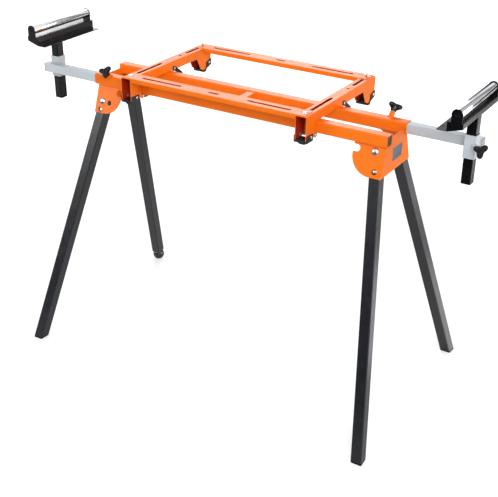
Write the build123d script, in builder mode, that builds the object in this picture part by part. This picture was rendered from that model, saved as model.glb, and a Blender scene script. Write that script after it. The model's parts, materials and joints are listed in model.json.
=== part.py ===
from build123d import *
from math import cos, radians, sin, sqrt, tan
import os

# Folding miter saw stand.
# The origin is on the floor under the middle of the two beams.
# +X runs along the beams, -Y is the front and +Z is up.
# The main frame looks the same after a half turn about the upright middle axis,
# so most pieces are made twice, with turn = 1 and turn = -1.

os.makedirs("parts", exist_ok=True)

# Fits and cuts
overrun = 6.0
shaft_gap = 0.05
plug_gap = 0.05
slide_gap = 0.5
rest_gap = 0.3

# Beams: two square tubes side by side
beam_half = 450.0
beam_side = 30.0
beam_wall = 2.0
beam_corner = 4.0
beam_lane = 55.0
beam_top = 780.0
beam_bottom = beam_top - beam_side
beam_middle = beam_top - beam_side / 2
beam_face = beam_lane + beam_side / 2
beam_plug_length = 14.0
beam_plug_recess = 1.5

# Cross strut between the beams
strut_side = 25.0
strut_wall = 1.5
strut_corner = 2.5
strut_hole_radius = 3.0
strut_hole_y = 22.0

# Sliding arms inside the beams
arm_side = beam_side - 2 * beam_wall - 2 * slide_gap
arm_wall = 1.5
arm_corner = 2.5
arm_overhang = 190.0
arm_end = beam_half + arm_overhang
arm_inner_end = 10.0
arm_length = arm_end + arm_inner_end
arm_cap_head = 2.5
arm_cap_plug = 14.0

# Upright sleeves welded to the arms
sleeve_side = 30.0
sleeve_wall = 2.0
sleeve_corner = 3.0
sleeve_inset = 17.0
sleeve_x = arm_end - sleeve_inset
sleeve_height = 59.0
sleeve_rise = 30.0
sleeve_bottom = beam_middle - sleeve_rise
sleeve_top = sleeve_bottom + sleeve_height
sleeve_y = beam_lane - arm_side / 2 - sleeve_side / 2

# Posts that slide in the sleeves and carry the rollers
post_side = sleeve_side - 2 * sleeve_wall - 2 * slide_gap
post_wall = 1.5
post_corner = 2.5
post_foot = 3.0
post_length = 197.0
post_show = 71.0
post_top = sleeve_top + post_show
post_bottom = post_top - post_length

# Roller carriers, folded from sheet
carrier_sheet = 2.0
carrier_half = 118.0
carrier_drop = 24.0
carrier_top = post_top + carrier_sheet
carrier_bottom = carrier_top - carrier_drop
carrier_lip = 13.0
carrier_tail = 24.0
carrier_outer = 24.0
carrier_wall_outer = post_side / 2
carrier_wall_inner = carrier_wall_outer + carrier_sheet

# Rollers
roller_radius = 12.5
roller_wall = 1.5
roller_offset = 7.5
roller_rise = 19.0
roller_z = carrier_top + roller_rise
roller_end_gap = 0.5
roller_hub_length = 10.0
axle_radius = 4.0
cheek_radius = 13.5
cheek_half = carrier_half - carrier_sheet

# Leaning planes of the legs
lean = 19.0
splay = 8.7
lean_line_gap = 5.0
lean_line = beam_lane + lean_line_gap
plate_sheet = 2.0
plate_leg_gap = 1.0
leg_side = 30.0
leg_wall = 1.5
leg_corner = 3.0
leg_depth = plate_sheet + plate_leg_gap + leg_side / 2
fold_gap = 1.7
stack_gap = 0.8
stop_gap = 0.6
pivot_inset = 31.5
upper_pivot_x = beam_half - pivot_inset
upper_pivot_s = leg_side / 2 + fold_gap
lower_pivot_s = upper_pivot_s + leg_side + stack_gap
lower_pivot_x = upper_pivot_x + (lower_pivot_s - upper_pivot_s) * tan(radians(splay))

# Lock pins in the legs and their holes
upper_lock_length = 49.5
lower_lock_length = 24.5
upper_rest_angle = 90.0
lower_rest_angle = 86.3
upper_fold = upper_rest_angle + splay
lower_fold = lower_rest_angle + splay
lock_radius = 6.5
lock_round = 4.0
lock_hole_radius = 7.0
lock_notch_radius = 9.0
lock_flange_radius = 8.5
lock_flange_thick = 2.0
lock_travel = 8.5
lock_stroke_spare = 0.6

# Bracket plates
plate_rim = 2.4
plate_radius = 54.0
plate_flat = 32.0
plate_bend = 3.0
lower_lock_s = lower_pivot_s + lower_lock_length * cos(radians(splay))
plate_bottom = lower_lock_s + lock_hole_radius + plate_rim
leg_flank = leg_side / 2 / cos(radians(splay))
leg_drift = (plate_bottom - upper_pivot_s) * tan(radians(splay))
web_inner = upper_pivot_x + leg_flank + leg_drift + stop_gap
web_outer = web_inner + plate_sheet
plate_round_x = web_outer - plate_flat
tongue_half = beam_lane - beam_side / 2
tongue_drop = 12.0

# Plain sticker on the right web
label_width = 53.0
label_height = 34.0
label_round = 1.5
label_thick = 0.3
label_y = 5.0
label_drop = 33.0
label_z = beam_bottom - label_drop

# Pivot bolts
bolt_radius = 5.0
bolt_head_radius = 10.0
bolt_head_height = 5.5
bolt_head_round = 4.0
nut_flats = 15.0
nut_height = 6.0
nut_gap = 0.5
nut_tail = 2.0

# Leg ends
cap_sole = 5.0
cap_plug = 30.0
ball_radius = 19.0
ball_stem_radius = 5.0
ball_gap = 0.6
socket_length = 16.0
level_travel = 12.0
ball_stem_length = socket_length + 2 * level_travel

# Clamp screws with three-lobed heads
screw_radius = 4.0
knob_seat = 39.0
knob_thick = 14.0
knob_core_radius = 13.0
knob_lobe_radius = 9.0
knob_lobe_length = 11.0
knob_edge = 2.0
knob_turn = 60.0
knob_neck_radius = 8.0
knob_neck_length = 4.0
boss_radius = 7.0
boss_height = 12.0
arm_knob_inset = 55.0
arm_knob_x = beam_half - arm_knob_inset
sleeve_knob_drop = 25.0

# Saw mount frame: two channels across the beams and two rails
frame_offset = 30.0
frame_x = -frame_offset
channel_inset = 180.0
channel_half_span = beam_half - channel_inset
channel_width = 32.0
channel_height = 25.0
channel_sheet = 2.0
channel_bend = 2.5
channel_top = beam_top + channel_height
frame_front_overhang = 48.0
frame_rear_overhang = 198.0
front_drop = 38.0
front_pad_gap = 16.0
frame_front = beam_face + frame_front_overhang
frame_rear = beam_face + frame_rear_overhang
front_drop_z = beam_top - front_drop
front_pad_inner = beam_face + front_pad_gap
beam_face_gap = 1.0
beam_under_gap = 0.5
hook_radius = 4.0
hook_tab_radius = 8.0
hook_end = 3.5
hook_round = 2.0
hook_inset = 1.5
hook_y = beam_face - hook_inset
hook_z = beam_bottom - beam_under_gap - hook_radius
cam_tab_radius = 9.0
cam_pin_radius = 4.0
cam_radius = 7.0
cam_lobe = 9.2
cam_side_gap = 0.5
cam_rise = 4.5
cam_y = beam_face + cam_lobe + rest_gap
cam_z = beam_top + cam_rise
lever_thick = 3.0
lever_gap = 0.3
lever_hub_radius = 6.5
lever_tip_radius = 4.5
lever_length = 40.0
lever_dip = 34.0

# Rear feet of the channels, as shares of their run and depth
rear_drop_run = 73.0
rear_drop_depth = 65.0
rear_drop_shares = (
    (0.0, 0.36),
    (0.24, 0.89),
    (0.41, 1.0),
    (0.575, 1.0),
    (0.62, 0.88),
    (0.95, 0.755),
    (1.0, 0.0),
)

# Rubber pads and their screws
pad_thick = 6.0
pad_cheek = 3.0
pad_cheek_height = 12.0
pad_screw_radius = 2.0
pad_screw_head_radius = 4.0
pad_screw_head = 2.5
pad_screw_tail = 1.5
front_pad_screw_gap = 27.0
front_pad_screw_y = beam_face + front_pad_screw_gap
rear_pad_screw_share = 0.8
pad_screw_rise = 6.0

# Rails
rail_width = 44.0
rail_sheet = 2.0
rail_lip = 10.0
rail_bend = 2.0
rail_end_margin = 6.0
rail_gap = 0.5
front_rail_y = -frame_front + rail_width / 2
rear_rail_y = frame_rear - rail_width / 2
rail_top = channel_top + rail_sheet

# Slots for the saw
slot_width = 8.5
rail_short_slot = 32.0
rail_slot_gap = 85.5
rail_slot_margin = 40.0
rail_slot_start = rail_short_slot / 2 + rail_slot_gap
rail_slot_end = channel_half_span - rail_slot_margin
rail_slot_length = rail_slot_end - rail_slot_start
rail_slot_centre = (rail_slot_start + rail_slot_end) / 2
channel_slot_offset = 12.0
channel_slot_y = -channel_slot_offset
channel_slot_length = 112.0
channel_hole_y = 133.0
channel_hole_radius = 4.0
channel_rear_slot_y = 193.0
channel_rear_slot_length = 62.0

# Corner bolts of the saw mount
corner_bolt_radius = 3.0
corner_hole_gap = 0.25
corner_head_radius = 8.0
corner_head_height = 4.0
corner_nut_flats = 10.0
corner_nut_height = 5.0
corner_tail = 3.0
corner_stud_height = 11.0

half_turns = ((1, "front", "left", "right"), (-1, "rear", "right", "left"))
legs = (
    ("front_right", 1, 1, upper_pivot_x, upper_pivot_s, upper_lock_length),
    ("rear_left", -1, 1, upper_pivot_x, upper_pivot_s, upper_lock_length),
    ("front_left", 1, -1, lower_pivot_x, lower_pivot_s, lower_lock_length),
    ("rear_right", -1, -1, lower_pivot_x, lower_pivot_s, lower_lock_length),
)
levelling_leg = "rear_left"


def write(part, label):
    """Name a finished piece and write it to its own file."""
    part.label = label
    export_step(part, "parts/" + label + ".step")


def turned_plane(turn, origin, x_dir, z_dir):
    """A plane, turned half way round the upright middle axis when turn is -1."""
    return Plane(
        origin=(turn * origin[0], turn * origin[1], origin[2]),
        x_dir=(turn * x_dir[0], turn * x_dir[1], x_dir[2]),
        z_dir=(turn * z_dir[0], turn * z_dir[1], z_dir[2]),
    )


def lean_vector(along, down, deep):
    """A direction in a leaning plane: along the beams, down the slope, and inward."""
    back = deep * cos(radians(lean)) - down * sin(radians(lean))
    rise = -down * cos(radians(lean)) - deep * sin(radians(lean))
    return (along, back, rise)


def lean_point(along, down, deep):
    """A point under the front beam, from its leaning plane's own measures."""
    vector = lean_vector(along, down, deep)
    return (vector[0], vector[1] - lean_line, vector[2] + beam_bottom)


def lean_plane(turn, deep):
    """The leaning plane at a depth behind the plate's outer face: x along, y down the slope."""
    return turned_plane(turn, lean_point(0, 0, deep), (1, 0, 0), lean_vector(0, 0, 1))


def leg_plane(turn, side, pivot_x, pivot_s):
    """The plane across a leg at its pivot, looking down the leg."""
    way = lean_vector(side * sin(radians(splay)), cos(radians(splay)), 0)
    return turned_plane(turn, lean_point(side * pivot_x, pivot_s, leg_depth), lean_vector(0, 0, 1), way)


def leg_length(pivot_s):
    """From the pivot down the leg's middle line to the floor."""
    floor_s = (beam_bottom - leg_depth * sin(radians(lean))) / cos(radians(lean))
    return (floor_s - pivot_s) / cos(radians(splay))


def lock_place(side, pivot_x, pivot_s, reach, fold):
    """Where the lock pin stands in the leaning plane when the leg is folded by an angle."""
    angle = radians(splay - fold)
    return (side * (pivot_x + reach * sin(angle)), pivot_s + reach * cos(angle))


def side_plane(x):
    """An upright plane across the beams: its x runs back and its y runs up."""
    return Plane(origin=(x, 0, 0), x_dir=(0, 1, 0), z_dir=(1, 0, 0))


# Beams, each with a hole through its outer top corner for the clamp screw
corner_reach = beam_side / sqrt(2) - beam_corner * (sqrt(2) - 1)
for turn, depth_name, arm_name, plug_name in half_turns:
    beam_plane = turned_plane(turn, (-beam_half, -beam_lane, beam_middle), (0, 1, 0), (1, 0, 0))
    clamp_plane = turned_plane(
        turn, (-arm_knob_x, -beam_lane, beam_middle), (1, 0, 0), (0, -sqrt(1 / 2), sqrt(1 / 2))
    )
    with BuildPart() as beam:
        with BuildSketch(beam_plane):
            RectangleRounded(beam_side, beam_side, beam_corner)
            RectangleRounded(
                beam_side - 2 * beam_wall,
                beam_side - 2 * beam_wall,
                beam_corner - beam_wall,
                mode=Mode.SUBTRACT,
            )
        extrude(amount=2 * beam_half)
        with BuildSketch(clamp_plane):
            Circle(screw_radius + slide_gap)
        extrude(amount=beam_side, mode=Mode.SUBTRACT)
    write(beam.part, depth_name + "_beam")

    # Threaded boss welded on that corner
    with BuildPart() as boss:
        with BuildSketch(clamp_plane.offset(corner_reach - beam_corner)):
            Circle(boss_radius)
            Circle(screw_radius + shaft_gap, mode=Mode.SUBTRACT)
        extrude(amount=boss_height + beam_corner)
        with BuildSketch(beam_plane):
            RectangleRounded(beam_side, beam_side, beam_corner)
        extrude(amount=2 * beam_half, mode=Mode.SUBTRACT)
    write(boss.part, arm_name + "_clamp_boss")

    # Plug in the end that has no arm
    plug_x = beam_half - beam_plug_recess
    plug_plane = turned_plane(turn, (plug_x, -beam_lane, beam_middle), (0, 1, 0), (1, 0, 0))
    plug_side = beam_side - 2 * beam_wall - 2 * plug_gap
    with BuildPart() as plug:
        with BuildSketch(plug_plane):
            RectangleRounded(plug_side, plug_side, beam_corner - beam_wall)
        extrude(amount=-beam_plug_length)
    write(plug.part, plug_name + "_beam_plug")

# Cross strut
with BuildPart() as strut:
    with BuildSketch(Plane(origin=(0, -tongue_half, beam_middle), x_dir=(1, 0, 0), z_dir=(0, 1, 0))):
        RectangleRounded(strut_side, strut_side, strut_corner)
        RectangleRounded(
            strut_side - 2 * strut_wall,
            strut_side - 2 * strut_wall,
            strut_corner - strut_wall,
            mode=Mode.SUBTRACT,
        )
    extrude(amount=2 * tongue_half)
    with BuildSketch(side_plane(0)):
        with Locations((strut_hole_y, beam_middle)):
            Circle(strut_hole_radius)
    extrude(amount=strut_side, mode=Mode.SUBTRACT)
write(strut.part, "cross_strut")

# Leg brackets: a web across the end, and a leaning plate on each side of it
for turn, depth_name, arm_name, bracket_name in half_turns:
    with BuildPart() as bracket:
        for plate_turn, side, pivot_x, pivot_s, reach, fold in (
            (turn, 1, upper_pivot_x, upper_pivot_s, upper_lock_length, upper_fold),
            (-turn, -1, lower_pivot_x, lower_pivot_s, lower_lock_length, lower_fold),
        ):
            lip_x = plate_round_x - plate_radius
            with BuildSketch(lean_plane(plate_turn, 0)) as plate_outline:
                with BuildLine():
                    Polyline(
                        (side * lip_x, plate_bottom - plate_radius),
                        (side * lip_x, -overrun),
                        (side * web_outer, -overrun),
                        (side * web_outer, plate_bottom),
                        (side * plate_round_x, plate_bottom),
                    )
                    ThreePointArc(
                        (side * plate_round_x, plate_bottom),
                        (
                            side * (plate_round_x - plate_radius * sqrt(1 / 2)),
                            plate_bottom - plate_radius * (1 - sqrt(1 / 2)),
                        ),
                        (side * lip_x, plate_bottom - plate_radius),
                    )
                make_face()
                with Locations((side * pivot_x, pivot_s)):
                    Circle(bolt_radius + shaft_gap, mode=Mode.SUBTRACT)
                for angle in (0, fold):
                    with Locations(lock_place(side, pivot_x, pivot_s, reach, angle)):
                        Circle(lock_hole_radius, mode=Mode.SUBTRACT)
                notch_x = upper_pivot_x - upper_lock_length
                with Locations((side * notch_x, upper_pivot_s)):
                    Circle(lock_notch_radius, mode=Mode.SUBTRACT)
                with Locations((side * (lip_x + notch_x) / 2, upper_pivot_s)):
                    Rectangle(notch_x - lip_x, 2 * lock_notch_radius, mode=Mode.SUBTRACT)
            extrude(amount=plate_sheet)
        foot_y = lean_line + plate_bottom * sin(radians(lean))
        foot_z = beam_bottom - plate_bottom * cos(radians(lean))
        with BuildSketch(side_plane(turn * web_outer)):
            with BuildLine():
                Polyline(
                    (-foot_y, foot_z),
                    (foot_y, foot_z),
                    (lean_line, beam_bottom),
                    (tongue_half, beam_bottom),
                    (tongue_half, beam_top - tongue_drop),
                    (-tongue_half, beam_top - tongue_drop),
                    (-tongue_half, beam_bottom),
                    (-lean_line, beam_bottom),
                    close=True,
                )
            make_face()
        extrude(amount=-turn * plate_sheet)
        # The plates stop at the underside of the beams
        with BuildSketch(Plane.XY.offset(beam_bottom)):
            for way in (1, -1):
                with Locations((turn * web_outer, way * beam_lane)):
                    Rectangle(2 * plate_radius + web_outer, beam_side)
        extrude(amount=beam_side, mode=Mode.SUBTRACT)
        bends = [
            edge
            for edge in bracket.edges()
            if abs(edge.center().X * turn - web_outer) < plate_sheet / 2
            and abs(edge.center().Y) > lean_line
            and edge.length > plate_radius
            and abs(edge.tangent_at(0).Z) > abs(edge.tangent_at(0).Y)
        ]
        fillet(bends, plate_bend)
    write(bracket.part, bracket_name + "_leg_bracket")

# Plain sticker on the right web
with BuildPart() as label:
    with BuildSketch(side_plane(web_outer)):
        with Locations((label_y, label_z)):
            RectangleRounded(label_width, label_height, label_round)
    extrude(amount=label_thick)
write(label.part, "blank_label")

# Legs with their bolts, lock pins and ends
for leg_name, turn, side, pivot_x, pivot_s, reach in legs:
    across = leg_plane(turn, side, pivot_x, pivot_s)
    length = leg_length(pivot_s)
    flat = lean_plane(turn, leg_depth)
    levelling = leg_name == levelling_leg
    lock_x, lock_s = lock_place(side, pivot_x, pivot_s, reach, 0)
    inner_side = leg_side - 2 * leg_wall
    tilt = cos(radians(lean)) * cos(radians(splay))
    ball_stand = ball_radius / tilt
    tube_end = length - ball_stand - ball_radius - ball_gap

    with BuildPart() as leg:
        with BuildSketch(across.offset(-leg_side / 2)):
            RectangleRounded(leg_side, leg_side, leg_corner)
            RectangleRounded(inner_side, inner_side, leg_corner - leg_wall, mode=Mode.SUBTRACT)
        extrude(amount=length + leg_side)
        with BuildSketch(flat):
            with Locations((side * pivot_x, pivot_s)):
                Circle(leg_side / 2)
                Rectangle(
                    leg_side,
                    length + leg_side,
                    rotation=-side * splay,
                    align=(Align.CENTER, Align.MIN),
                )
        extrude(amount=leg_side, both=True, mode=Mode.INTERSECT)
        with BuildSketch(flat):
            with Locations((side * pivot_x, pivot_s)):
                Circle(bolt_radius + shaft_gap)
        extrude(amount=leg_side, both=True, mode=Mode.SUBTRACT)
        with BuildSketch(flat):
            with Locations((lock_x, lock_s)):
                Circle(lock_radius + shaft_gap)
        extrude(amount=-leg_side, mode=Mode.SUBTRACT)
        if levelling:
            split(bisect_by=across.offset(tube_end), keep=Keep.BOTTOM)
        else:
            split(bisect_by=Plane.XY.offset(cap_sole), keep=Keep.TOP)
    write(leg.part, leg_name + "_leg")

    plug_side = inner_side - 2 * plug_gap
    if levelling:
        # Threaded plug in the leg, and a ball foot on a screw
        with BuildPart() as socket:
            with BuildSketch(across.offset(tube_end - socket_length)):
                RectangleRounded(plug_side, plug_side, leg_corner - leg_wall)
                Circle(ball_stem_radius + shaft_gap, mode=Mode.SUBTRACT)
            extrude(amount=socket_length)
        write(socket.part, leg_name + "_foot_socket")
        ball_centre = across.offset(length - ball_stand)
        with BuildPart() as ball_foot:
            with BuildSketch(Plane(origin=ball_centre.origin, x_dir=across.x_dir, z_dir=-across.y_dir)):
                with BuildLine():
                    Line((0, -ball_radius), (0, ball_radius))
                    CenterArc((0, 0), ball_radius, -90, 180)
                make_face()
            revolve(axis=Axis(ball_centre.origin, across.z_dir), revolution_arc=360)
            with BuildSketch(ball_centre):
                Circle(ball_stem_radius)
            extrude(amount=-ball_radius - ball_stem_length)
        write(ball_foot.part, leg_name + "_levelling_foot")
    else:
        with BuildPart() as cap:
            with BuildSketch(across.offset(length - leg_side)):
                RectangleRounded(leg_side, leg_side, leg_corner)
            extrude(amount=2 * leg_side)
            split(bisect_by=Plane.XY.offset(cap_sole), keep=Keep.BOTTOM)
            with BuildSketch(across.offset(length - cap_plug)):
                RectangleRounded(plug_side, plug_side, leg_corner - leg_wall)
            extrude(amount=cap_plug)
            split(bisect_by=Plane.XY, keep=Keep.TOP)
        write(cap.part, leg_name + "_foot_cap")

    # Pivot bolt with a domed head outside and a nut inside
    inward = Axis(across.origin, lean_plane(turn, 0).z_dir)
    nut_start = leg_depth + leg_side / 2 + nut_gap
    with BuildPart() as bolt:
        with BuildSketch(lean_plane(turn, 0)):
            with Locations((side * pivot_x, pivot_s)):
                Circle(bolt_head_radius)
        extrude(amount=-bolt_head_height)
        rim = bolt.edges().filter_by(GeomType.CIRCLE).sort_by(inward)[0]
        fillet(rim, bolt_head_round)
        with BuildSketch(lean_plane(turn, 0)):
            with Locations((side * pivot_x, pivot_s)):
                Circle(bolt_radius)
        extrude(amount=nut_start + nut_height + nut_tail)
        with BuildSketch(lean_plane(turn, nut_start)):
            with Locations((side * pivot_x, pivot_s)):
                RegularPolygon(nut_flats / 2, 6, major_radius=False)
        extrude(amount=nut_height)
    write(bolt.part, leg_name + "_pivot_bolt")

    # Lock pin, drawn back behind the plate
    pin_tip = plate_sheet + rest_gap
    flange_start = plate_sheet + plate_leg_gap + leg_wall + lock_travel + lock_stroke_spare
    with BuildPart() as lock:
        with BuildSketch(lean_plane(turn, pin_tip)):
            with Locations((lock_x, lock_s)):
                Circle(lock_radius)
        extrude(amount=flange_start - pin_tip)
        rim = lock.edges().filter_by(GeomType.CIRCLE).sort_by(inward)[0]
        fillet(rim, lock_round)
        with BuildSketch(lean_plane(turn, flange_start)):
            with Locations((lock_x, lock_s)):
                Circle(lock_flange_radius)
        extrude(amount=lock_flange_thick)
    write(lock.part, leg_name + "_lock_pin")

# Arms with their sleeves, posts, carriers, rollers and knobs
for turn, depth_name, arm_name, plug_name in half_turns:
    arm_plane = turned_plane(turn, (-arm_end, -beam_lane, beam_middle), (0, 1, 0), (1, 0, 0))
    sleeve_plane = turned_plane(turn, (-sleeve_x, -sleeve_y, sleeve_bottom), (1, 0, 0), (0, 0, 1))
    grip_z = sleeve_top - sleeve_knob_drop
    grip_plane = turned_plane(
        turn, (-sleeve_x, -sleeve_y, grip_z), (0, 0, 1), (-sqrt(1 / 2), sqrt(1 / 2), 0)
    )
    sleeve_corner_reach = sleeve_side / sqrt(2) - sleeve_corner * (sqrt(2) - 1)
    with BuildPart() as arm:
        with BuildSketch(arm_plane):
            RectangleRounded(arm_side, arm_side, arm_corner)
            RectangleRounded(
                arm_side - 2 * arm_wall,
                arm_side - 2 * arm_wall,
                arm_corner - arm_wall,
                mode=Mode.SUBTRACT,
            )
        extrude(amount=arm_length)
        with BuildSketch(sleeve_plane):
            RectangleRounded(sleeve_side, sleeve_side, sleeve_corner)
        extrude(amount=sleeve_height)
        with BuildSketch(grip_plane.offset(sleeve_corner_reach - sleeve_corner)):
            Circle(boss_radius)
        extrude(amount=boss_height + sleeve_corner)
        with BuildSketch(sleeve_plane):
            RectangleRounded(
                sleeve_side - 2 * sleeve_wall, sleeve_side - 2 * sleeve_wall, sleeve_corner - sleeve_wall
            )
        extrude(amount=sleeve_height, mode=Mode.SUBTRACT)
        with BuildSketch(grip_plane):
            Circle(screw_radius + shaft_gap)
        extrude(amount=sleeve_side + boss_height, mode=Mode.SUBTRACT)
    write(arm.part, arm_name + "_arm")

    arm_plug_side = arm_side - 2 * arm_wall - 2 * plug_gap
    with BuildPart() as arm_cap:
        with BuildSketch(arm_plane):
            RectangleRounded(arm_side, arm_side, arm_corner)
        extrude(amount=-arm_cap_head)
        with BuildSketch(arm_plane):
            RectangleRounded(arm_plug_side, arm_plug_side, arm_corner - arm_wall)
        extrude(amount=arm_cap_plug)
    write(arm_cap.part, arm_name + "_arm_cap")

    # Post: a tube closed at its lower end
    post_plane = turned_plane(turn, (-sleeve_x, -sleeve_y, post_bottom), (1, 0, 0), (0, 0, 1))
    with BuildPart() as post:
        with BuildSketch(post_plane):
            RectangleRounded(post_side, post_side, post_corner)
        extrude(amount=post_length)
        with BuildSketch(post_plane.offset(post_foot)):
            RectangleRounded(
                post_side - 2 * post_wall, post_side - 2 * post_wall, post_corner - post_wall
            )
        extrude(amount=post_length, mode=Mode.SUBTRACT)
    write(post.part, arm_name + "_post")

    # Carrier: a folded sheet with gussets and a cheek at each end
    fold_plane = turned_plane(turn, (-sleeve_x, -carrier_half, 0), (-1, 0, 0), (0, 1, 0))
    with BuildPart() as carrier:
        with BuildSketch(fold_plane):
            with BuildLine():
                Polyline(
                    (-carrier_wall_inner - carrier_tail, carrier_bottom),
                    (-carrier_wall_outer, carrier_bottom),
                    (-carrier_wall_outer, carrier_top - carrier_sheet),
                    (carrier_outer - carrier_sheet, carrier_top - carrier_sheet),
                    (carrier_outer - carrier_sheet, carrier_top - carrier_lip),
                    (carrier_outer, carrier_top - carrier_lip),
                    (carrier_outer, carrier_top),
                    (-carrier_wall_inner, carrier_top),
                    (-carrier_wall_inner, carrier_bottom + carrier_sheet),
                    (-carrier_wall_inner - carrier_tail, carrier_bottom + carrier_sheet),
                    close=True,
                )
            make_face()
        extrude(amount=2 * carrier_half)
        for start in (0, 2 * carrier_half - carrier_sheet):
            with BuildSketch(fold_plane.offset(start)):
                with BuildLine():
                    Polyline(
                        (-carrier_wall_outer, carrier_bottom),
                        (carrier_outer, carrier_top - carrier_lip),
                        (carrier_outer, carrier_top),
                        (-carrier_wall_outer, carrier_top),
                        close=True,
                    )
                make_face()
                with Locations((roller_offset, roller_z)):
                    Circle(cheek_radius)
                with Locations((roller_offset, (roller_z + carrier_top) / 2)):
                    Rectangle(2 * cheek_radius, roller_z - carrier_top)
                with Locations((roller_offset, roller_z)):
                    Circle(axle_radius + shaft_gap, mode=Mode.SUBTRACT)
            extrude(amount=carrier_sheet)
    write(carrier.part, arm_name + "_roller_carrier")

    # Roller: a tube with a solid hub and a stub axle at each end
    roller_half = cheek_half - roller_end_gap
    axle_plane = turned_plane(turn, (-sleeve_x - roller_offset, 0, roller_z), (1, 0, 0), (0, 1, 0))
    with BuildPart() as roller:
        with BuildSketch(axle_plane.offset(-roller_half)):
            Circle(roller_radius)
        extrude(amount=2 * roller_half)
        with BuildSketch(axle_plane.offset(-roller_half + roller_hub_length)):
            Circle(roller_radius - roller_wall)
        extrude(amount=2 * (roller_half - roller_hub_length), mode=Mode.SUBTRACT)
        for start in (roller_half, -carrier_half):
            with BuildSketch(axle_plane.offset(start)):
                Circle(axle_radius)
            extrude(amount=carrier_half - roller_half)
    write(roller.part, arm_name + "_roller")

    # Two clamp screws with three-lobed heads
    clamp_plane = turned_plane(
        turn, (-arm_knob_x, -beam_lane, beam_middle), (1, 0, 0), (0, -sqrt(1 / 2), sqrt(1 / 2))
    )
    for knob_name, knob_plane, inner_half, inner_corner in (
        (arm_name + "_arm_knob", clamp_plane, arm_side / 2, arm_corner),
        (arm_name + "_post_knob", grip_plane, post_side / 2, post_corner),
    ):
        tip = inner_half * sqrt(2) - inner_corner * (sqrt(2) - 1) + rest_gap
        with BuildPart() as knob:
            with BuildSketch(knob_plane.offset(knob_seat)):
                Circle(knob_core_radius)
                with PolarLocations(knob_lobe_length, 3, start_angle=knob_turn):
                    Circle(knob_lobe_radius)
            extrude(amount=knob_thick)
            fillet(knob.faces().sort_by(Axis(knob_plane.origin, knob_plane.z_dir))[-1].edges(), knob_edge)
            with BuildSketch(knob_plane.offset(knob_seat - knob_neck_length)):
                Circle(knob_neck_radius)
            extrude(amount=knob_neck_length)
            with BuildSketch(knob_plane.offset(tip)):
                Circle(screw_radius)
            extrude(amount=knob_seat - tip)
        write(knob.part, knob_name)

# Saw mount: channels across the beams
rear_drop_start = frame_rear - rear_drop_run
rear_drop_points = [
    (rear_drop_start + along * rear_drop_run, channel_top - down * rear_drop_depth)
    for along, down in rear_drop_shares
]
beam_front = beam_face + beam_face_gap
rear_pad_edge = rear_drop_points[2:6]
rear_pad_screw_y = rear_drop_start + rear_pad_screw_share * rear_drop_run
seat_start, seat_end = rear_drop_points[4], rear_drop_points[5]
seat_slope = (seat_end[1] - seat_start[1]) / (seat_end[0] - seat_start[0])
rear_pad_screw_z = seat_start[1] + (rear_pad_screw_y - seat_start[0]) * seat_slope + pad_screw_rise
front_pad_edge = [(-frame_front, front_drop_z), (-front_pad_inner, front_drop_z)]
pad_screws = (
    (-front_pad_screw_y, front_drop_z + pad_screw_rise),
    (rear_pad_screw_y, rear_pad_screw_z),
)
channels = (("left", frame_x - channel_half_span), ("right", frame_x + channel_half_span))

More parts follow.
